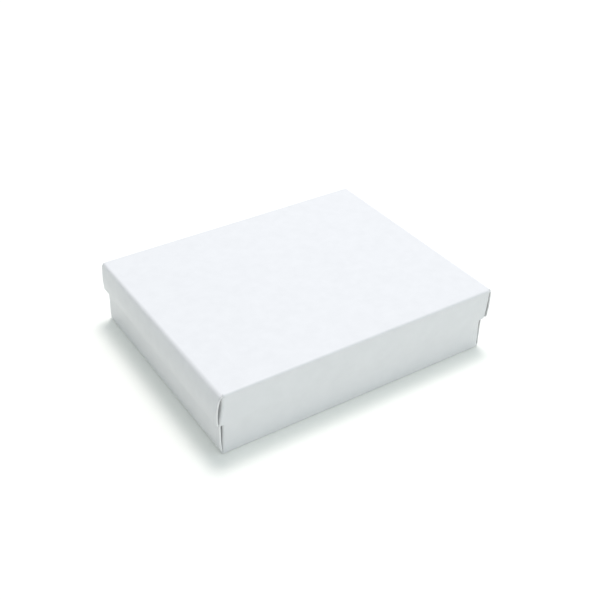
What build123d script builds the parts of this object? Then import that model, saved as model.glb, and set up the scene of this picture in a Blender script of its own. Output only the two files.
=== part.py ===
from build123d import *
from collections import namedtuple
import os

# A two-piece jewelry gift box, closed and standing on its base: a lid, a base and a loose fibre pad.
# Lid and base are trays, each folded from one die-cut board blank. A long wall is a single panel, and
# its ends fold into corner tabs. A short wall is double: its outer panel rolls over at the rim into an
# inner panel, and the corner tabs are held between the two.
# Origin at the centre of the underside, X along the long walls, Y along the short walls, Z up.
# Millimetres.

# Driving dimensions
length = 112.0  # closed box, over the lid's short walls
width = 89.5  # closed box, over the lid's long walls
height = 25.5  # closed box
lid_depth = 12.2  # from the lid's top face to its rim
board = 0.5  # thickness of the folding board
crease = 0.8  # outside radius of a crease
inset_x = 1.7  # from the outside of the lid's short wall to that of the base
inset_y = 0.9  # from the outside of the lid's long wall to that of the base
rim_gap = 0.1  # from the base's rim to the underside of the lid's top
end_gap = 0.15  # from a short wall's raw end to the outside of the long wall
tab_length = 22.0  # corner tab, from the outside of its long wall to its free end
tab_clearance = 0.25  # from a corner tab's edges to the creases above and below it
pad_gap = 0.7  # between the pad and the base's walls
pad_thickness = 17.5
pad_corner = 4.0  # radius of the pad's upright corners
pad_shoulder = 3.5  # radius of the pad's top edge

# Worked out from them
roll = 1.5 * board  # outside radius of a rolled rim, with a tab's thickness inside it
double_wall = 3 * board  # outer panel, tab and inner panel

# A tray by its outside: half its length and width, its depth, the height of its main panel's
# outside, and the way that its walls go from there.
Tray = namedtuple("Tray", "name main_panel half_length half_width depth main_z up")
base = Tray(
    "base", "bottom", length / 2 - inset_x, width / 2 - inset_y, height - board - rim_gap, 0, 1
)
lid = Tray("lid", "top", length / 2, width / 2, lid_depth, height, -1)


def short_wall_plane(tray, side):
    """Upright section plane across a short wall: u goes in from its outside, v from the main panel."""
    return Plane(
        origin=(side * tray.half_length, 0, tray.main_z),
        x_dir=(-side, 0, 0),
        z_dir=(0, side * tray.up, 0),
    )


def long_wall_plane(tray, side):
    """Upright section plane across a long wall: u goes in from its outside, v from the main panel."""
    return Plane(
        origin=(0, side * tray.half_width, tray.main_z),
        x_dir=(0, -side, 0),
        z_dir=(-side * tray.up, 0, 0),
    )


def level(tray, height_in_tray):
    """Horizontal plane at a distance from the main panel's outside, facing the tray's rim."""
    return Plane(
        origin=(0, 0, tray.main_z + tray.up * height_in_tray), x_dir=(1, 0, 0), z_dir=(0, 0, tray.up)
    )


def quarter_fold(start, corner, end):
    """A crease's outline: outside arc from start to end around corner, inside arc back."""
    centre = start + end - corner
    inner = (crease - board) / crease
    inside_start = centre + (start - centre) * inner
    inside_end = centre + (end - centre) * inner
    sweep_out = centre + (corner - centre) * (1 / 2) ** 0.5
    sweep_in = centre + (corner - centre) * (1 / 2) ** 0.5 * inner
    ThreePointArc(start, sweep_out, end)
    Line(end, inside_end)
    ThreePointArc(inside_end, sweep_in, inside_start)
    Line(inside_start, start)


def main_panel(tray):
    """The tray's flat panel, between its four creases."""
    with BuildPart() as panel:
        with BuildSketch(level(tray, 0)):
            Rectangle(2 * (tray.half_length - crease), 2 * (tray.half_width - crease))
        extrude(amount=board)
    return panel


def long_wall(tray, side):
    """A single wall with its crease, as long as the straight board between the corner folds."""
    with BuildPart() as wall:
        with BuildSketch(long_wall_plane(tray, side)):
            with BuildLine():
                quarter_fold(Vector(crease, 0), Vector(0, 0), Vector(0, crease))
            make_face()
            with Locations((0, crease)):
                Rectangle(board, tray.depth - crease, align=(Align.MIN, Align.MIN))
        extrude(amount=tray.half_length - board - crease, both=True)
    return wall


def short_wall(tray, side):
    """The outer panel of a double wall, with its crease and its rolled rim."""
    panel_top = tray.depth - roll
    with BuildPart() as wall:
        with BuildSketch(short_wall_plane(tray, side)):
            with BuildLine():
                quarter_fold(Vector(crease, 0), Vector(0, 0), Vector(0, crease))
            make_face()
            with Locations((0, crease)):
                Rectangle(board, panel_top - crease, align=(Align.MIN, Align.MIN))
        extrude(amount=tray.half_width - end_gap, both=True)
        with BuildSketch(short_wall_plane(tray, side)):
            with BuildLine():
                ThreePointArc((0, panel_top), (roll, tray.depth), (2 * roll, panel_top))
                Line((2 * roll, panel_top), (2 * board, panel_top))
                ThreePointArc((2 * board, panel_top), (roll, tray.depth - board), (board, panel_top))
                Line((board, panel_top), (0, panel_top))
            make_face()
        extrude(amount=tray.half_width - crease - end_gap, both=True)
    return wall


def inner_panel(tray, side):
    """The inner panel of a double wall, from the rolled rim to the main panel."""
    with BuildPart() as panel:
        with BuildSketch(short_wall_plane(tray, side)):
            with Locations((2 * board, board)):
                Rectangle(board, tray.depth - roll - board, align=(Align.MIN, Align.MIN))
        extrude(amount=tray.half_width - crease - end_gap, both=True)
    return panel


def corner_tab(tray, side_x, side_y):
    """The end of a long wall, folded round the corner and held inside the short wall."""
    outside_x = side_x * (tray.half_length - board)
    outside_y = side_y * tray.half_width
    fold = Vector(-side_x * crease, 0)
    turn = Vector(0, -side_y * crease)
    corner = Vector(outside_x, outside_y)
    flap_foot = crease + tab_clearance
    flap_top = tray.depth - roll - tab_clearance
    with BuildPart() as tab:
        with BuildSketch(level(tray, crease)):
            with BuildLine():
                quarter_fold(*(in_level(tray, p) for p in (corner + fold, corner, corner + turn)))
            make_face()
        extrude(amount=tray.depth - crease)
        with BuildSketch(level(tray, flap_foot)):
            with BuildLine():
                Polyline(
                    *(
                        in_level(tray, p)
                        for p in (
                            corner + turn,
                            corner + turn + Vector(-side_x * board, 0),
                            corner + Vector(-side_x * board, -side_y * tab_length),
                            corner + Vector(0, -side_y * tab_length),
                        )
                    ),
                    close=True,
                )
            make_face()
        extrude(amount=flap_top - flap_foot)
    return tab


def in_level(tray, point):
    """A point of the row's X and Y, as a level plane of that tray counts them."""
    return Vector(point.X, point.Y * tray.up)


def fibre_pad():
    """A loose rectangular pad on the base's bottom panel, with a soft top edge."""
    pad_length = 2 * (base.half_length - double_wall - pad_gap)
    pad_width = 2 * (base.half_width - board - pad_gap)
    with BuildPart() as pad:
        with BuildSketch(Plane.XY.offset(board)):
            RectangleRounded(pad_length, pad_width, pad_corner)
        extrude(amount=pad_thickness)
        fillet(pad.faces().sort_by(Axis.Z)[-1].edges(), radius=pad_shoulder)
    return pad


pieces = {"fibre_pad": fibre_pad()}
for tray in (base, lid):
    pieces[f"{tray.name}_{tray.main_panel}"] = main_panel(tray)
    for side_y, long_side in ((-1, "front"), (1, "back")):
        pieces[f"{tray.name}_{long_side}_wall"] = long_wall(tray, side_y)
    for side_x, short_side in ((-1, "left"), (1, "right")):
        pieces[f"{tray.name}_{short_side}_wall"] = short_wall(tray, side_x)
        pieces[f"{tray.name}_{short_side}_inner_panel"] = inner_panel(tray, side_x)
        for side_y, long_side in ((-1, "front"), (1, "back")):
            name = f"{tray.name}_{long_side}_{short_side}_tab"
            pieces[name] = corner_tab(tray, side_x, side_y)

os.makedirs("parts", exist_ok=True)
for name, piece in pieces.items():
    piece.part.label = name
    export_step(piece.part, f"parts/{name}.step")
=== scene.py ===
import math

import bmesh
import bpy
import numpy as np
from mathutils import Matrix, Vector
from mathutils import noise as noise_tools
from mathutils.bvhtree import BVHTree


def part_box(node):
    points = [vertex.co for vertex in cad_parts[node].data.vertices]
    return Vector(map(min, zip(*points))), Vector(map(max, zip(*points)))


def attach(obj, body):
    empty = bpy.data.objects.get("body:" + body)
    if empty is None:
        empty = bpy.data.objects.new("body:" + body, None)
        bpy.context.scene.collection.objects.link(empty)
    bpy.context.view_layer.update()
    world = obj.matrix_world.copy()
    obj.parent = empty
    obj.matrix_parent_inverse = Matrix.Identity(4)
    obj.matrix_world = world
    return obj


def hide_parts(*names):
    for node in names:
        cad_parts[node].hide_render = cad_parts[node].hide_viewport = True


# A white two-piece folding gift box, closed on a pale table. Each panel of its lid and base is a real
# 0.5 mm board with a coated face, an uncoated back and raw cut edges. A loose fibre pad lies inside.

MM = 0.001

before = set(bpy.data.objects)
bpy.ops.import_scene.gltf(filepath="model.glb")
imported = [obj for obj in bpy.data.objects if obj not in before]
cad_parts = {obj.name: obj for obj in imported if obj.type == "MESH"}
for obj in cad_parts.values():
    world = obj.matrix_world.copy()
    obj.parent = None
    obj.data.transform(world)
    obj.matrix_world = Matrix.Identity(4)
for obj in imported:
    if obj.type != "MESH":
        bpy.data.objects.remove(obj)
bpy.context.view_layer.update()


# ---------------------------------------------------------------- the trays' sizes, from the frame

class Tray:
    """A tray by its outside. Its own coordinates are x, y and v, the distance from the outside of its
    main panel towards its rim."""

    def __init__(self, name, main_panel, up):
        long_low, long_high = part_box(f"{name}_front_wall")
        short_low, short_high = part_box(f"{name}_left_wall")
        panel_low, panel_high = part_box(f"{name}_{main_panel}")
        tab_low, tab_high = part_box(f"{name}_front_left_tab")
        self.name, self.main_panel, self.up = name, main_panel, up
        self.half_length, self.half_width = -short_low.x, -long_low.y
        self.depth = long_high.z - long_low.z
        self.board = panel_high.z - panel_low.z
        self.crease = long_high.y - long_low.y
        self.roll = (short_high.x - short_low.x) / 2
        self.end_gap = self.half_width + short_low.y
        self.tab_reach = tab_high.y - tab_low.y
        self.main_z = panel_low.z if up > 0 else panel_high.z

    def world(self, x, y, v):
        return np.stack([x, y, self.main_z + self.up * v], axis=-1)


lid = Tray("lid", "top", up=-1)
base = Tray("base", "bottom", up=1)
BOARD = lid.board
CREASE = lid.crease
LEAD = 0.3 * MM  # flat board beside a crease that belongs to the wall, so that shading runs through
SOFT = 0.07 * MM  # softened corner of a raw cut edge


# ---------------------------------------------------------------- how the folded board really stands

def smooth(t):
    t = np.clip(t, 0, 1)
    return t * t * (3 - 2 * t)


# Outward lean of each end wall towards its raw ends (front, back), and of the corner folds beside them.
WALL_LEAN = {
    ("lid", -1): (1.67 * MM, 0.40 * MM),
    ("lid", 1): (0.42 * MM, 0.45 * MM),
    ("base", -1): (1.45 * MM, -0.30 * MM),
    ("base", 1): (-0.40 * MM, -0.10 * MM),
}
RIM_PULL = {-1: (0.05 * MM, 0.30 * MM), 1: (0.32 * MM, 0.45 * MM)}  # how the lid's end rims come back in
LID_FOLD_LEAN = {-1: (1.15 * MM, 0.30 * MM), 1: (-0.50 * MM, 0.10 * MM)}  # at the rim: front, back
BASE_FOLD_LEAN = {  # front and back: at the bottom, then higher up
    -1: ((0.95 * MM, 0.50 * MM), (0.00 * MM, 0.00 * MM)),
    1: ((-0.30 * MM, -0.68 * MM), (0.00 * MM, 0.00 * MM)),
}
WALL_BOW = 0.15 * MM  # further out at mid-length than at the ends
FLARE_LENGTH = 9 * MM  # from a corner fold to where its flap lies against the end wall
CREASE_IN = {-1: 0.27 * MM, 1: 0.0}  # the lid's top is this much shorter at its ends than its walls
BASE_LONGER = 0.50 * MM  # the base stands this much longer at each end than its flat size
BASE_SHIFT = -0.30 * MM  # how the base sits off the lid's middle, towards the left
BASE_TAPER = (0.45 * MM, 0.28 * MM)  # the base's long walls: offset at the bottom and at the rim
NEST = 0.08 * MM  # play aimed at between the lid's inner panel and the base
SPRING_REACH, SPRING_POWER = 0.75, 0.62  # depth share where a lid end wall is fully out, and how soon
WEB_RADIUS = 0.6 * MM  # of the web of board that turns round a corner at the crease
WEB_FLAT = 0.45 * MM  # of the web that lies past its turn
WEB_HEIGHT, WEB_FADE = 0.9 * MM, 0.7 * MM  # where the web starts to end, and how far that takes
CORNER_ROUNDING = 0.98  # share of a full round by which an end wall's crease drops at its ends
ROLL_START, ROLL_RATE = 0.3, 3  # how far a rim has rolled when it starts to narrow, and how fast it does
BURR = {  # how much thicker an end wall's raw ends are crushed
    ("lid", -1): 0.12 * MM, ("lid", 1): 0.0, ("base", -1): 0.28 * MM, ("base", 1): 0.0,
}
BURR_REACH = 0.9 * MM
PANEL_RIPPLE = 0.08 * MM
LONG_WALL_RIPPLE = 0.04 * MM
STREAK = 0.05 * MM  # of the rub marks beside a fold


def between(pair, y, tray):
    """A value that goes from a front one to a back one along an end wall."""
    along = np.clip(y / tray.half_width, -1, 1)
    return pair[0] + (pair[1] - pair[0]) * (along + 1) / 2


def bow(tray, y):
    return WALL_BOW * (1 - np.clip(np.abs(y) / tray.half_width, 0, 1) ** 4)


def lid_wall_out(side, y, v):
    """A lid end wall springs out below its crease, then hangs straight and comes in at its rim."""
    lean = between(WALL_LEAN["lid", side], y, lid) + CREASE_IN[side] + bow(lid, y)
    spring = np.sin(math.pi / 2 * np.clip(v / lid.depth / SPRING_REACH, 0, 1)) ** SPRING_POWER
    pull = between(RIM_PULL[side], y, lid) * smooth((v / lid.depth - 0.6) / 0.4)
    return lean * spring - CREASE_IN[side] * smooth(v / (2 * MM)) - pull


def fold_out(tray, side, y_side, v):
    """Outward offset of a corner fold at depth v."""
    end = 0 if y_side < 0 else 1
    if tray is lid:
        return LID_FOLD_LEAN[side][end] * smooth(v / tray.depth) ** 2.2
    low, high = BASE_FOLD_LEAN[side][end]
    return low + (high - low) * smooth(v / (12 * MM))


def base_wall_out(side, y, v):
    """A base end wall springs out above the floor, and the lid's inner panel holds it in higher up."""
    free = (between(WALL_LEAN["base", side], y, base) + bow(base, y)) * (1 - np.exp(-v / (1.7 * MM)))
    lid_v = np.clip(lid.main_z - v, 0, lid.depth)
    lid_inside = lid.half_length + inner_out(lid, side, y, lid_v) - 2 * lid.roll - NEST
    stands = base.half_length + BASE_LONGER + side * BASE_SHIFT
    held = np.minimum(free, lid_inside - stands)
    under = smooth((v - (lid.main_z - lid.depth - 0.4 * MM)) / (1.2 * MM))
    return free + (held - free) * under


def wall_out(tray, side, y, v):
    """Outward offset of an end wall's outer panel at y along it and depth v."""
    return lid_wall_out(side, y, v) if tray is lid else base_wall_out(side, y, v)


def flap_share(tray, from_corner, v):
    """0 at a corner fold, to 1 where its flap lies against the end wall, which is soonest at the rim."""
    at_rim = smooth((v / tray.depth - 0.55) / 0.4)
    return smooth((from_corner - CREASE) / (FLARE_LENGTH * (1 - 0.85 * at_rim)))


def inner_out(tray, side, y, v):
    """Outward offset of what lies inside an end wall: its corner flaps and its inner panel."""
    deep = flap_share(tray, tray.half_width - np.abs(y), v)
    fold = np.where(y < 0, fold_out(tray, side, -1, v), fold_out(tray, side, 1, v))
    return fold * (1 - deep) + wall_out(tray, side, y, v) * deep


def stand(tray, x, y, v):
    """What a whole tray does: the lid narrows to its top, and the base is drawn out and leans."""
    if tray is lid:
        crease_in = np.where(x < 0, CREASE_IN[-1], CREASE_IN[1])
        return x - crease_in * x / tray.half_length * (1 - smooth(v / (2 * MM))), y, v
    low, high = BASE_TAPER
    taper = low + (high - low) * smooth(v / (11 * MM))
    return x * (1 + BASE_LONGER / tray.half_length) + BASE_SHIFT, y * (1 + taper / tray.half_width), v


def ripple(a, b, seed, size):
    """A slow unevenness of a board face: a few crossed waves, from -1 to 1."""
    rng = np.random.default_rng(seed)
    total = np.zeros(np.broadcast(a, b).shape)
    for _ in range(6):
        angle, phase = rng.uniform(0, 2 * math.pi, 2)
        length = size * rng.uniform(0.6, 1.8)
        total += np.sin((a * math.cos(angle) + b * math.sin(angle)) * 2 * math.pi / length + phase)
    return total / 6


# ---------------------------------------------------------------- boards as closed meshes

ARC_STEPS = 10


def stations(start, end, count, free_start=True, free_end=True):
    """Positions from start to end, with one more just inside each free edge."""
    direction = 1 if end > start else -1
    first = start + direction * SOFT if free_start else start
    last = end - direction * SOFT if free_end else end
    middle = list(np.linspace(first, last, count + 1))
    return np.array(([start] if free_start else []) + middle + ([end] if free_end else []))


class Shell:
    """The points and faces of a closed board, or of several that make one piece. Face slots: 0 the
    coated skin, 1 the back, 2 a raw cut edge."""

    def __init__(self):
        self.points, self.faces, self.slots = [], [], []

    def add(self, skin, back, free):
        """A board between two grids of points. free says which borders are raw cut edges: first row,
        last row, first column, last column. Their corners are softened."""
        rows, columns = skin.shape[:2]
        skin, back = skin.copy(), back.copy()
        borders = (np.s_[0, :], np.s_[-1, :], np.s_[:, 0], np.s_[:, -1])
        for border, is_free in zip(borders, free):
            if is_free:
                through = back[border] - skin[border]
                through /= np.linalg.norm(through, axis=-1, keepdims=True)
                skin[border] += through * SOFT
                back[border] -= through * SOFT
        first, count = len(self.points), rows * columns
        self.points += [tuple(p) for p in np.concatenate([skin.reshape(-1, 3), back.reshape(-1, 3)])]

        def index(i, j, layer):
            return first + layer * count + i * columns + j

        for i in range(rows - 1):
            for j in range(columns - 1):
                at_edge = (
                    (i == 0 and free[0]) or (i == rows - 2 and free[1])
                    or (j == 0 and free[2]) or (j == columns - 2 and free[3])
                )
                for layer in (0, 1):
                    self.faces.append([index(i, j, layer), index(i + 1, j, layer),
                                       index(i + 1, j + 1, layer), index(i, j + 1, layer)])
                    self.slots.append(2 if at_edge else layer)
        ring = [(i, 0) for i in range(rows)] + [(rows - 1, j) for j in range(1, columns)]
        ring += [(i, columns - 1) for i in range(rows - 2, -1, -1)]
        ring += [(0, j) for j in range(columns - 2, 0, -1)]
        for (i, j), (k, m) in zip(ring, ring[1:] + ring[:1]):
            self.faces.append([index(i, j, 0), index(k, m, 0), index(k, m, 1), index(i, j, 1)])
            self.slots.append(2)

    def piece(self, name, materials):
        mesh = bpy.data.meshes.new(name)
        mesh.from_pydata(self.points, [], self.faces)
        mesh.polygons.foreach_set("material_index", self.slots)
        for material in materials:
            mesh.materials.append(material)
        tidy = bmesh.new()
        tidy.from_mesh(mesh)
        bmesh.ops.recalc_face_normals(tidy, faces=tidy.faces)
        tidy.to_mesh(mesh)
        tidy.free()
        mesh.polygons.foreach_set("use_smooth", [True] * len(mesh.polygons))
        mesh.set_sharp_from_angle(angle=math.radians(35))
        piece = bpy.data.objects.new(name, mesh)
        bpy.context.scene.collection.objects.link(piece)
        return piece


def wall_section(tray, rolled):
    """A wall's coated face in its section plane, row by row: u goes in from the outside, v to the rim,
    with the outward normal, the crease's angle and how far the rolled rim has turned, 0 to 1."""
    rows = [(CREASE + LEAD, 0, 0, -1, 0, 0)]
    for k in range(ARC_STEPS + 1):
        a = math.pi / 2 * k / ARC_STEPS
        u, v = CREASE * (1 - math.sin(a)), CREASE * (1 - math.cos(a))
        rows.append((u, v, -math.sin(a), -math.cos(a), a, 0))
    wall_end = tray.depth - tray.roll if rolled else tray.depth
    for v in stations(CREASE, wall_end, 18, free_start=False, free_end=not rolled)[1:]:
        rows.append((0, v, -1, 0, math.pi / 2, 0))
    if rolled:
        for k in range(1, 15):
            a = math.pi * k / 14
            u, v = tray.roll * (1 - math.cos(a)), wall_end + tray.roll * math.sin(a)
            rows.append((u, v, -math.cos(a), math.sin(a), math.pi / 2, k / 14))
        rows.append((2 * tray.roll, wall_end - LEAD, 1, 0, math.pi / 2, 1))
    return np.array(rows).T


def main_panel(tray, materials):
    xs = np.linspace(-1, 1, 57) * (tray.half_length - CREASE - LEAD)
    ys = np.linspace(-1, 1, 45) * (tray.half_width - CREASE - LEAD)
    x, y = np.meshgrid(xs, ys, indexing="ij")
    inside = np.minimum(1 - np.abs(x) / tray.half_length, 1 - np.abs(y) / tray.half_width)
    sag = PANEL_RIPPLE * (ripple(x, y, 11, 0.05) + 1) / 2 * smooth(inside / 0.15)
    shell = Shell()
    shell.add(
        tray.world(*stand(tray, x, y, sag)), tray.world(*stand(tray, x, y, sag + BOARD)), (False,) * 4
    )
    return shell.piece(f"{tray.name}_{tray.main_panel}_board", materials)


def long_wall(tray, side, materials):
    u, v, normal_u, normal_v, angle, _ = wall_section(tray, rolled=False)
    half = tray.half_length - BOARD - CREASE - np.where(v > CREASE, LEAD, 0)
    half = np.where(angle == 0, tray.half_length - CREASE - LEAD, half)
    end = 10 * MM / tray.half_length
    left_end, right_end = np.linspace(-1, -1 + end, 61)[:-1], np.linspace(1 - end, 1, 61)[1:]
    along = np.concatenate([left_end, np.linspace(-1 + end, 1 - end, 45), right_end])

    def grid(depth_in):
        x = along[None, :] * half[:, None]
        uu = np.repeat((u - normal_u * depth_in)[:, None], len(along), axis=1)
        vv = np.repeat((v - normal_v * depth_in)[:, None], len(along), axis=1)
        near_end = smooth((np.abs(x) - tray.half_length + 12 * MM) / (10 * MM))
        middle = smooth((1 - np.abs(x) / tray.half_length) / 0.2) * smooth(vv / tray.depth / 0.3)
        out = LONG_WALL_RIPPLE * ripple(x, vv, 21 + side, 0.04) * middle
        out = out + streaks(x * side, vv, tray) * smooth(vv / (3 * MM))
        for side_x in (-1, 1):
            shift = side_x * fold_out(tray, side_x, side, vv) * near_end
            x = x + shift * (np.sign(along)[None, :] == side_x)
        return tray.world(*stand(tray, x, side * (tray.half_width - uu + out), vv))

    shell = Shell()
    shell.add(grid(0), grid(BOARD), (False, True, False, False))
    return shell.piece(f"{tray.name}_{'front' if side < 0 else 'back'}_wall_board", materials)


def streaks(x, v, tray):
    """Faint upright rub marks where a long wall was bent back and forth beside one of its folds."""
    from_fold = x + tray.half_length
    lean = 8 * v / tray.depth
    wave = np.sin(from_fold / (0.15 * MM) + lean) + 0.6 * np.sin(from_fold / (0.23 * MM) + lean)
    return STREAK * wave * np.exp(-from_fold / (3 * MM)) * smooth(from_fold / (0.8 * MM) - 1.2)


def grid_normals(points):
    """Unit normals of a grid of points."""
    across = np.cross(np.gradient(points, axis=0), np.gradient(points, axis=1))
    return across / np.linalg.norm(across, axis=-1, keepdims=True)


def short_wall(tray, side, materials):
    """The outer panel and its rolled rim. At the crease a web of board turns round the corner on to
    the fold; past it the raw end stands free."""
    u, v, _, normal_v, angle, turned = wall_section(tray, rolled=True)
    half = tray.half_width - CREASE + (CREASE - tray.end_gap) * np.sin(angle)
    half = half - CREASE * smooth((turned - ROLL_START) * ROLL_RATE)
    web = np.sin(angle) ** 2 * (1 - smooth((v - WEB_HEIGHT) / WEB_FADE))
    reach = web * (math.pi / 2 * WEB_RADIUS + WEB_FLAT)
    straight = half - WEB_RADIUS * web
    last = 0.7 * MM  # of the straight part is divided with the web
    to_end = np.linspace(0, 1, 9)
    to_end = np.concatenate([to_end[:-1], [1 - SOFT / last, 1]])
    middle = np.linspace(-1, 1, 61)[1:-1]
    past = (-last + to_end[None, :] * (last + reach[:, None]))
    y_turn = straight[:, None] + np.where(
        past < 0, past, WEB_RADIUS * np.sin(np.clip(past / WEB_RADIUS, 0, math.pi / 2))
    )
    u_turn = WEB_RADIUS * (1 - np.cos(np.clip(past / WEB_RADIUS, 0, math.pi / 2)))
    u_turn = u_turn + np.clip(past - math.pi / 2 * WEB_RADIUS, 0, None)
    y = np.concatenate([-y_turn[:, ::-1], (straight - last)[:, None] * middle[None, :], y_turn], axis=1)
    inward = np.concatenate([u_turn[:, ::-1], np.zeros((len(u), len(middle))), u_turn], axis=1)
    uu = np.repeat(u[:, None], y.shape[1], axis=1) + inward
    vv = np.repeat(v[:, None], y.shape[1], axis=1)
    from_edge = np.clip(CREASE - tray.half_width + np.abs(y), 0, CREASE)
    drop = CREASE - np.sqrt(CREASE**2 - from_edge**2 * CORNER_ROUNDING)
    vv = vv + drop * np.clip(-normal_v, 0, 1)[:, None]
    roll_share = turned[:, None]
    out = wall_out(tray, side, y, vv) * (1 - roll_share) + inner_out(tray, side, y, vv) * roll_share
    skin = tray.world(*stand(tray, side * (tray.half_length - uu + out), y, vv))
    normals = grid_normals(skin)
    outward = 1 if normals[len(u) // 2, y.shape[1] // 2, 0] * side > 0 else -1
    shell = Shell()
    from_end = (half[:, None] - np.abs(y)) / BURR_REACH
    burr = BURR[tray.name, side] * np.clip(1 - from_end, 0, 1) ** 2
    burr = burr * (1 - web[:, None]) * (1 - smooth(turned * 4))[:, None]
    thickness = (BOARD + burr)[..., None]
    shell.add(skin, skin - outward * normals * thickness, (False, False, True, True))
    return shell.piece(f"{tray.name}_{'left' if side < 0 else 'right'}_wall_board", materials)


def inner_panel(tray, side, materials):
    half = tray.half_width - CREASE - tray.end_gap
    ys = stations(-half, half, 64)
    vs = stations(tray.depth - tray.roll - LEAD, BOARD + 0.05 * MM, 16, free_start=False)
    v, y = np.meshgrid(vs, ys, indexing="ij")

    def grid(u):
        out = inner_out(tray, side, y, v) * smooth((v - BOARD) / (3 * MM))
        return tray.world(*stand(tray, side * (tray.half_length - u + out), y, v))

    shell = Shell()
    shell.add(grid(2 * tray.roll), grid(2 * tray.roll - BOARD), (False, True, True, True))
    return shell.piece(f"{tray.name}_{'left' if side < 0 else 'right'}_inner_panel_board", materials)


def corner_tab(tray, side_x, side_y, materials):
    """The folded end of a long wall. Its plan runs along the wall, round the corner and back along the
    inside of the end wall's outer panel. A round cap closes the corner above the fold."""
    plan = [(BOARD + CREASE + LEAD, 0, 0, -1)]
    for k in range(ARC_STEPS + 1):
        a = math.pi / 2 * k / ARC_STEPS
        u, w = BOARD + CREASE * (1 - math.sin(a)), CREASE * (1 - math.cos(a))
        plan.append((u, w, -math.sin(a), -math.cos(a)))
    plan += [(BOARD, w, -1, 0) for w in stations(CREASE, tray.tab_reach, 24, free_start=False)[1:]]
    plan = np.array(plan)
    into_flap = smooth((plan[:, 1] - 0.6 * CREASE) / (0.5 * MM))
    taper = smooth((plan[:, 1] - 2 * MM) / tray.tab_reach) * 2.5 * MM
    foot = CREASE + into_flap * 0.25 * MM + taper
    head = tray.depth - into_flap * (tray.roll + 0.25 * MM) - taper
    share = np.concatenate([[0], np.linspace(SOFT / tray.depth, 1 - SOFT / tray.depth, 17), [1]])

    def place(x_in, y_in, v):
        y = side_y * (tray.half_width - y_in)
        deep = flap_share(tray, y_in, v)
        out = fold_out(tray, side_x, side_y, v) * (1 - deep) + wall_out(tray, side_x, y, v) * deep
        return tray.world(*stand(tray, side_x * (tray.half_length - x_in + out), y, v))

    def strip(depth_in):
        v = foot[:, None] + (head - foot)[:, None] * share[None, :]
        x_in, y_in = (
            np.repeat((plan[:, k] - plan[:, k + 2] * depth_in)[:, None], len(share), axis=1) for k in (0, 1)
        )
        return place(x_in, y_in, v)

    def cap(radius):
        down, turn = np.meshgrid(
            np.linspace(0.03, math.pi / 2, ARC_STEPS + 1), np.linspace(0, math.pi / 2, ARC_STEPS + 1),
            indexing="ij",
        )
        reach = radius * np.sin(down)
        x_in, y_in = BOARD + CREASE - reach * np.sin(turn), CREASE - reach * np.cos(turn)
        return place(x_in, y_in, CREASE - radius * np.cos(down))

    shell = Shell()
    shell.add(strip(0), strip(BOARD), (False, True, True, True))
    shell.add(cap(CREASE), cap(CREASE - BOARD), (False,) * 4)
    corner = f"{'front' if side_y < 0 else 'back'}_{'left' if side_x < 0 else 'right'}"
    return shell.piece(f"{tray.name}_{corner}_tab_board", materials)


# ---------------------------------------------------------------- materials

def node_material(name):
    material = bpy.data.materials.new(name)
    material.use_nodes = True
    nodes, links = material.node_tree.nodes, material.node_tree.links
    shader = nodes["Principled BSDF"]
    return material, nodes, links, shader


def noise(nodes, links, place, scale, detail, stretch=(1, 1, 1)):
    mapping = nodes.new("ShaderNodeMapping")
    mapping.inputs["Scale"].default_value = stretch
    links.new(place.outputs["Object"], mapping.inputs["Vector"])
    texture = nodes.new("ShaderNodeTexNoise")
    texture.inputs["Scale"].default_value = scale
    texture.inputs["Detail"].default_value = detail
    links.new(mapping.outputs["Vector"], texture.inputs["Vector"])
    return texture.outputs["Fac"]


def ramp(nodes, links, value, low, high, low_colour, high_colour):
    made = nodes.new("ShaderNodeValToRGB")
    made.color_ramp.elements[0].position, made.color_ramp.elements[1].position = low, high
    made.color_ramp.elements[0].color = (*low_colour, 1)
    made.color_ramp.elements[1].color = (*high_colour, 1)
    links.new(value, made.inputs["Fac"])
    return made.outputs["Color"]


def bump(nodes, links, height, distance, strength, onto=None):
    made = nodes.new("ShaderNodeBump")
    made.inputs["Distance"].default_value = distance
    made.inputs["Strength"].default_value = strength
    links.new(height, made.inputs["Height"])
    if onto is not None:
        links.new(onto, made.inputs["Normal"])
    return made.outputs["Normal"]


def coated_board():
    """Clay-coated white board: satin, with the faint cloudiness of the fibre under the coating."""
    material, nodes, links, shader = node_material("coated_white_board")
    place = nodes.new("ShaderNodeTexCoord")
    cloud = noise(nodes, links, place, 260, 4)
    links.new(
        ramp(nodes, links, cloud, 0.3, 0.7, (0.765, 0.768, 0.77), (0.79, 0.793, 0.795)),
        shader.inputs["Base Color"],
    )
    gloss = noise(nodes, links, place, 900, 3)
    rough = nodes.new("ShaderNodeMapRange")
    rough.inputs["To Min"].default_value, rough.inputs["To Max"].default_value = 0.36, 0.46
    links.new(gloss, rough.inputs["Value"])
    links.new(rough.outputs["Result"], shader.inputs["Roughness"])
    shader.inputs["Specular IOR Level"].default_value = 0.45
    fine = bump(nodes, links, noise(nodes, links, place, 3200, 5), 0.00001, 0.25)
    links.new(bump(nodes, links, cloud, 0.00003, 0.3, onto=fine), shader.inputs["Normal"])
    return material


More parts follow.
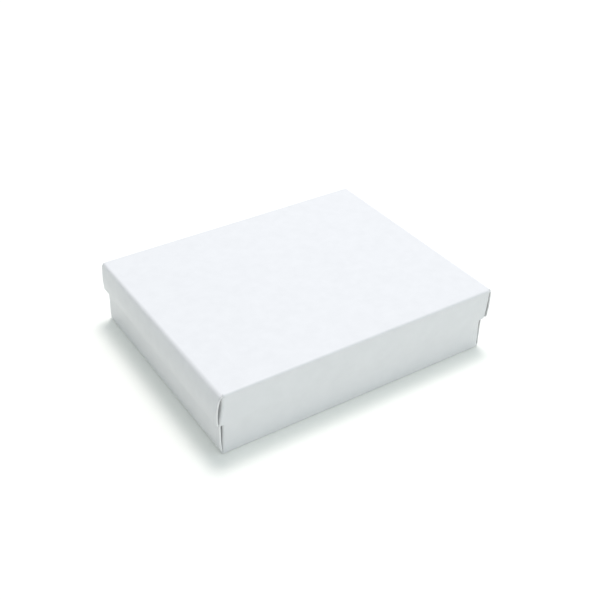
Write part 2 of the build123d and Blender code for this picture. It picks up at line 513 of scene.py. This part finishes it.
def bare_board():
    """The uncoated back of the board: matte, slightly warm, with visible fibres."""
    material, nodes, links, shader = node_material("uncoated_board_back")
    place = nodes.new("ShaderNodeTexCoord")
    fibre = noise(nodes, links, place, 1500, 6, stretch=(1, 0.35, 1))
    cloud = noise(nodes, links, place, 180, 3)
    mixed = nodes.new("ShaderNodeMath")
    mixed.operation = "MULTIPLY_ADD"
    mixed.inputs[1].default_value = 0.5
    links.new(fibre, mixed.inputs[0])
    half = nodes.new("ShaderNodeMath")
    half.operation = "MULTIPLY"
    half.inputs[1].default_value = 0.5
    links.new(cloud, half.inputs[0])
    links.new(half.outputs[0], mixed.inputs[2])
    links.new(
        ramp(nodes, links, mixed.outputs[0], 0.35, 0.65, (0.77, 0.765, 0.75), (0.82, 0.815, 0.80)),
        shader.inputs["Base Color"],
    )
    shader.inputs["Roughness"].default_value = 0.85
    shader.inputs["Specular IOR Level"].default_value = 0.25
    links.new(bump(nodes, links, fibre, 0.00004, 0.5), shader.inputs["Normal"])
    return material


def cut_edge():
    """The raw cut edge, where the board's plies show as faint lines."""
    material, nodes, links, shader = node_material("raw_cut_edge")
    place = nodes.new("ShaderNodeTexCoord")
    fibre = noise(nodes, links, place, 4000, 4)
    links.new(
        ramp(nodes, links, fibre, 0.3, 0.7, (0.81, 0.81, 0.80), (0.86, 0.86, 0.85)),
        shader.inputs["Base Color"],
    )
    shader.inputs["Roughness"].default_value = 0.9
    shader.inputs["Specular IOR Level"].default_value = 0.2
    links.new(bump(nodes, links, fibre, 0.00005, 0.6), shader.inputs["Normal"])
    return material


board_materials = (coated_board(), bare_board(), cut_edge())

# ---------------------------------------------------------------- the folded trays

for tray in (lid, base):
    made = {f"{tray.name}_{tray.main_panel}": main_panel(tray, board_materials)}
    for side_y, long_side in ((-1, "front"), (1, "back")):
        made[f"{tray.name}_{long_side}_wall"] = long_wall(tray, side_y, board_materials)
    for side_x, short_side in ((-1, "left"), (1, "right")):
        made[f"{tray.name}_{short_side}_wall"] = short_wall(tray, side_x, board_materials)
        made[f"{tray.name}_{short_side}_inner_panel"] = inner_panel(tray, side_x, board_materials)
        for side_y, long_side in ((-1, "front"), (1, "back")):
            node = f"{tray.name}_{long_side}_{short_side}_tab"
            made[node] = corner_tab(tray, side_x, side_y, board_materials)
    for node, piece in made.items():
        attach(piece, tray.name)
        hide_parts(node)


# ---------------------------------------------------------------- the fibre pad

PAD_GRID = 0.62 * MM
PAD_LIFT = 0.1 * MM  # of its underside, off the board under it
PAD_CORNER = 4 * MM
PAD_SHOULDER = 4 * MM
PAD_FOOT = 1.5 * MM
PAD_PULL_IN = 0.9 * MM  # of the sides, half-way between the corners
PAD_CROWN = 1.4 * MM
PAD_LUMP, LUMP_SIZE, LUMP_OFFSET = 0.35 * MM, 9 * MM, Vector((3.1, 1.7, 0.4))
PAD_TUFT, TUFT_SIZE, TUFT_OFFSET = 0.45 * MM, 2.4 * MM, Vector((7.7, 2.2, 5.5))
STRAYS = 3000
STRAY_RADIUS = 0.03 * MM
STRAY_STEP = (0.35, 1.1)  # mm from one ring of a loose fibre to the next
STRAY_LIFT, STRAY_LIFTED = (0.1, 0.6), 0.35  # mm that some of them stand off, and the share that does


def loose_fibre():
    """White polyester batting: matted fine fibres that let some light through."""
    material, nodes, links, shader = node_material("loose_white_fibre")
    place = nodes.new("ShaderNodeTexCoord")
    warp = nodes.new("ShaderNodeTexNoise")
    warp.inputs["Scale"].default_value = 220
    links.new(place.outputs["Object"], warp.inputs["Vector"])
    matted = None
    for turn in (0.2, 1.3, 2.3):
        mapping = nodes.new("ShaderNodeMapping")
        mapping.inputs["Rotation"].default_value = (0, 0, turn)
        mapping.inputs["Scale"].default_value = (1, 0.09, 0.5)
        bend = nodes.new("ShaderNodeVectorMath")
        bend.operation = "MULTIPLY_ADD"
        bend.inputs[1].default_value = (0.004, 0.004, 0.004)
        links.new(warp.outputs["Color"], bend.inputs[0])
        links.new(place.outputs["Object"], bend.inputs[2])
        links.new(bend.outputs[0], mapping.inputs["Vector"])
        fibre = nodes.new("ShaderNodeTexNoise")
        fibre.inputs["Scale"].default_value = 5200
        fibre.inputs["Detail"].default_value = 3
        links.new(mapping.outputs["Vector"], fibre.inputs["Vector"])
        if matted is None:
            matted = fibre.outputs["Fac"]
            continue
        higher = nodes.new("ShaderNodeMath")
        higher.operation = "MAXIMUM"
        links.new(matted, higher.inputs[0])
        links.new(fibre.outputs["Fac"], higher.inputs[1])
        matted = higher.outputs[0]
    links.new(
        ramp(nodes, links, matted, 0.42, 0.72, (0.80, 0.80, 0.79), (0.93, 0.93, 0.92)),
        shader.inputs["Base Color"],
    )
    shader.inputs["Roughness"].default_value = 0.95
    shader.inputs["Specular IOR Level"].default_value = 0.2
    shader.inputs["Subsurface Weight"].default_value = 0.35
    shader.inputs["Subsurface Radius"].default_value = (0.002, 0.002, 0.002)
    shader.inputs["Subsurface Scale"].default_value = 1.0
    shader.inputs["Sheen Weight"].default_value = 0.3
    shader.inputs["Sheen Roughness"].default_value = 0.5
    cloud = noise(nodes, links, place, 420, 4)
    tufts = bump(nodes, links, cloud, 0.0004, 0.5)
    links.new(bump(nodes, links, matted, 0.00025, 0.8, onto=tufts), shader.inputs["Normal"])
    return material


def pad_surface(low, high):
    """A closed grid over the six sides of the pad's box, drawn on to its rounded, crowned shape and
    roughened like matted fibre."""
    size = high - low
    counts = [max(4, round(size[k] / PAD_GRID)) for k in range(3)]
    index, quads, places = {}, [], []

    def corner(i, j, k):
        if (i, j, k) not in index:
            index[i, j, k] = len(places)
            places.append((i / counts[0], j / counts[1], k / counts[2]))
        return index[i, j, k]

    for axis in range(3):
        a, b = (k for k in range(3) if k != axis)
        for at in (0, counts[axis]):
            for i in range(counts[a]):
                for j in range(counts[b]):
                    quad = []
                    for di, dj in ((0, 0), (1, 0), (1, 1), (0, 1)):
                        spot = [0, 0, 0]
                        spot[axis], spot[a], spot[b] = at, i + di, j + dj
                        quad.append(corner(*spot))
                    faces_out = (at > 0) != (axis == 1)
                    quads.append(quad if faces_out else quad[::-1])
    half = np.array(size) / 2
    p = (np.array(places) * 2 - 1) * half
    core = half - np.array([PAD_CORNER, PAD_CORNER, PAD_SHOULDER])
    inner = np.clip(p, -core, core)
    inner[:, 2] = np.where(p[:, 2] < 0, np.maximum(p[:, 2], -half[2] + PAD_FOOT), inner[:, 2])
    reach = p - inner
    radius = np.array([PAD_CORNER, PAD_CORNER, PAD_SHOULDER]) * np.ones_like(p)
    radius[:, 2] = np.where(p[:, 2] < 0, PAD_FOOT, PAD_SHOULDER)
    unit = reach / radius
    length = np.linalg.norm(unit, axis=1, keepdims=True)
    unit = np.where(length > 1e-9, unit / np.maximum(length, 1e-9), 0)
    out = inner + unit * radius * np.minimum(1, length * 2)
    along = out / half
    upper = smooth((along[:, 2] + 1) / 2)
    pulled = PAD_PULL_IN * (0.35 + 0.65 * upper)
    for k, across in ((0, 1), (1, 0)):
        out[:, k] -= np.sign(out[:, k]) * pulled * (1 - along[:, across] ** 2) * np.abs(along[:, k]) ** 3
    crown = (1 - along[:, 0] ** 2) * (1 - along[:, 1] ** 2)
    top = smooth(along[:, 2])
    out[:, 2] -= PAD_CROWN * (1 - crown ** 0.6) * top
    rough = smooth((along[:, 2] + 0.97) / 0.1)
    for i, point in enumerate(out):
        at = Vector(point)
        lump = noise_tools.fractal(at / LUMP_SIZE + LUMP_OFFSET, 1.0, 2.0, 3)
        tuft = noise_tools.turbulence(at / TUFT_SIZE + TUFT_OFFSET, 4, False)
        inward = unit[i] if length[i] > 1e-9 else np.array([0, 0, 1.0])
        out[i] -= inward * rough[i] * (PAD_LUMP * (0.6 + lump) + PAD_TUFT * tuft)
    return out + np.array((low + high) / 2), quads


def fibre_pad(material):
    low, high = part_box("fibre_pad")
    points, quads = pad_surface(low + Vector((0, 0, PAD_LIFT)), high)
    mesh = bpy.data.meshes.new("fibre_pad_batting")
    mesh.from_pydata([tuple(q) for q in points], [], quads)
    mesh.materials.append(material)
    mesh.polygons.foreach_set("use_smooth", [True] * len(mesh.polygons))
    piece = bpy.data.objects.new("fibre_pad_batting", mesh)
    bpy.context.scene.collection.objects.link(piece)
    return piece


def stray_fibres(pad, material):
    """Loose ends of fibre that lie on the pad and stand a little off it."""
    rng = np.random.default_rng(5)
    mesh = pad.data
    low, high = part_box("fibre_pad")
    faces = [f for f in mesh.polygons if f.center.z > low.z + 2 * MM]
    areas = np.array([f.area for f in faces])
    picks = rng.choice(len(faces), size=STRAYS, p=areas / areas.sum())
    tree = BVHTree.FromPolygons([v.co for v in mesh.vertices], [list(f.vertices) for f in mesh.polygons])
    points, quads = [], []
    for pick in picks:
        at = faces[pick].center.copy()
        normal = faces[pick].normal.copy()
        heading = normal.orthogonal().normalized()
        heading.rotate(Matrix.Rotation(rng.uniform(0, 2 * math.pi), 3, normal))
        turn, step = rng.normal(0, 0.16), rng.uniform(*STRAY_STEP) * MM
        lift = rng.uniform(*STRAY_LIFT) * MM if rng.random() < STRAY_LIFTED else 0.08 * MM
        first, rings = len(points), 9
        for k in range(rings):
            height = lift * math.sin(math.pi * k / (rings - 1)) + 0.02 * MM
            side = heading.cross(normal).normalized()
            middle = at + normal * height
            for corner in range(3):
                a = 2 * math.pi * corner / 3
                around = side * math.cos(a) + normal * math.sin(a)
                points.append(tuple(clamp(middle + around * STRAY_RADIUS, low, high)))
            heading.rotate(Matrix.Rotation(turn + rng.normal(0, 0.12), 3, normal))
            at, normal, _, _ = tree.find_nearest(at + heading * step)
            heading = (heading - normal * heading.dot(normal)).normalized()
        for k in range(rings - 1):
            for corner in range(3):
                a, b = first + 3 * k + corner, first + 3 * k + (corner + 1) % 3
                quads.append((a, b, b + 3, a + 3))
        quads += [(first + 2, first + 1, first), tuple(first + 3 * (rings - 1) + k for k in range(3))]
    strands = bpy.data.meshes.new("fibre_pad_stray_fibres")
    strands.from_pydata(points, [], quads)
    strands.materials.append(material)
    strands.polygons.foreach_set("use_smooth", [True] * len(strands.polygons))
    piece = bpy.data.objects.new("fibre_pad_stray_fibres", strands)
    bpy.context.scene.collection.objects.link(piece)
    return piece


def clamp(point, low, high):
    return Vector(tuple(min(max(p, a), b) for p, a, b in zip(point, low, high)))


fibre = loose_fibre()
pad = fibre_pad(fibre)
strays = stray_fibres(pad, fibre)
for piece in (pad, strays):
    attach(piece, "pad")
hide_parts("fibre_pad")

# ---------------------------------------------------------------- floor, light and camera

def pale_floor():
    """A white sheet on a light table: a little of its light comes from below."""
    material, nodes, links, shader = node_material("pale_table")
    shader.inputs["Base Color"].default_value = (0.93, 0.94, 0.885, 1)
    shader.inputs["Roughness"].default_value = 0.9
    shader.inputs["Specular IOR Level"].default_value = 0.1
    shader.inputs["Emission Color"].default_value = (1, 1, 1, 1)
    shader.inputs["Emission Strength"].default_value = 0.07
    mesh = bpy.data.meshes.new("table")
    half = 3.0
    corners = [(-half, -half, 0), (half, -half, 0), (half, half, 0), (-half, half, 0)]
    mesh.from_pydata(corners, [], [(0, 1, 2, 3)])
    mesh.materials.append(material)
    floor = bpy.data.objects.new("table", mesh)
    bpy.context.scene.collection.objects.link(floor)


def room_light(colour, strength, to_the_right):
    """An even pale room, somewhat brighter towards +X."""
    world = bpy.data.worlds.new("soft_room")
    world.use_nodes = True
    nodes, links = world.node_tree.nodes, world.node_tree.links
    background = nodes["Background"]
    background.inputs["Color"].default_value = (*colour, 1)
    place = nodes.new("ShaderNodeTexCoord")
    split = nodes.new("ShaderNodeSeparateXYZ")
    level = nodes.new("ShaderNodeMapRange")
    level.inputs["From Min"].default_value, level.inputs["From Max"].default_value = -1, 1
    level.inputs["To Min"].default_value = strength * (1 - to_the_right)
    level.inputs["To Max"].default_value = strength * (1 + to_the_right)
    links.new(place.outputs["Generated"], split.inputs["Vector"])
    links.new(split.outputs["X"], level.inputs["Value"])
    links.new(level.outputs["Result"], background.inputs["Strength"])
    bpy.context.scene.world = world


def soft_light(name, place, size, power, colour):
    """A large square light that faces the box."""
    data = bpy.data.lights.new(name, "AREA")
    data.shape, data.size = "SQUARE", size
    data.energy, data.color = power, colour
    lamp = bpy.data.objects.new(name, data)
    lamp.location = place
    lamp.rotation_mode = "QUATERNION"
    lamp.rotation_quaternion = (-Vector(place)).to_track_quat("-Z", "Y")
    bpy.context.scene.collection.objects.link(lamp)


def camera(place, azimuth, elevation, roll, lens, shift):
    """Azimuth 0 looks along +Y and turns towards +X."""
    a, e, r = (math.radians(x) for x in (azimuth, elevation, roll))
    forward = Vector((math.sin(a) * math.cos(e), math.cos(a) * math.cos(e), -math.sin(e)))
    level_right = Vector((math.cos(a), -math.sin(a), 0))
    level_up = level_right.cross(forward)
    right = level_right * math.cos(r) + level_up * math.sin(r)
    up = right.cross(forward)
    data = bpy.data.cameras.new("camera")
    data.sensor_width, data.lens = 36, lens
    data.shift_x, data.shift_y = shift
    seen = bpy.data.objects.new("camera", data)
    seen.matrix_world = Matrix.Translation(place) @ Matrix((right, up, -forward)).transposed().to_4x4()
    bpy.context.scene.collection.objects.link(seen)
    bpy.context.scene.camera = seen


pale_floor()
room_light((0.905, 0.985, 1.035), strength=0.70, to_the_right=0.48)
soft_light("overhead", (0.20, 0.22, 1.1), 0.35, 6.7, (1.0, 0.935, 0.95))
camera(
    (-0.1608, -0.2384, 0.2163), azimuth=32.13, elevation=36.83, roll=0.36, lens=56.51,
    shift=(0.055, 0.0485),
)
bpy.context.scene.view_settings.view_transform = "Standard"
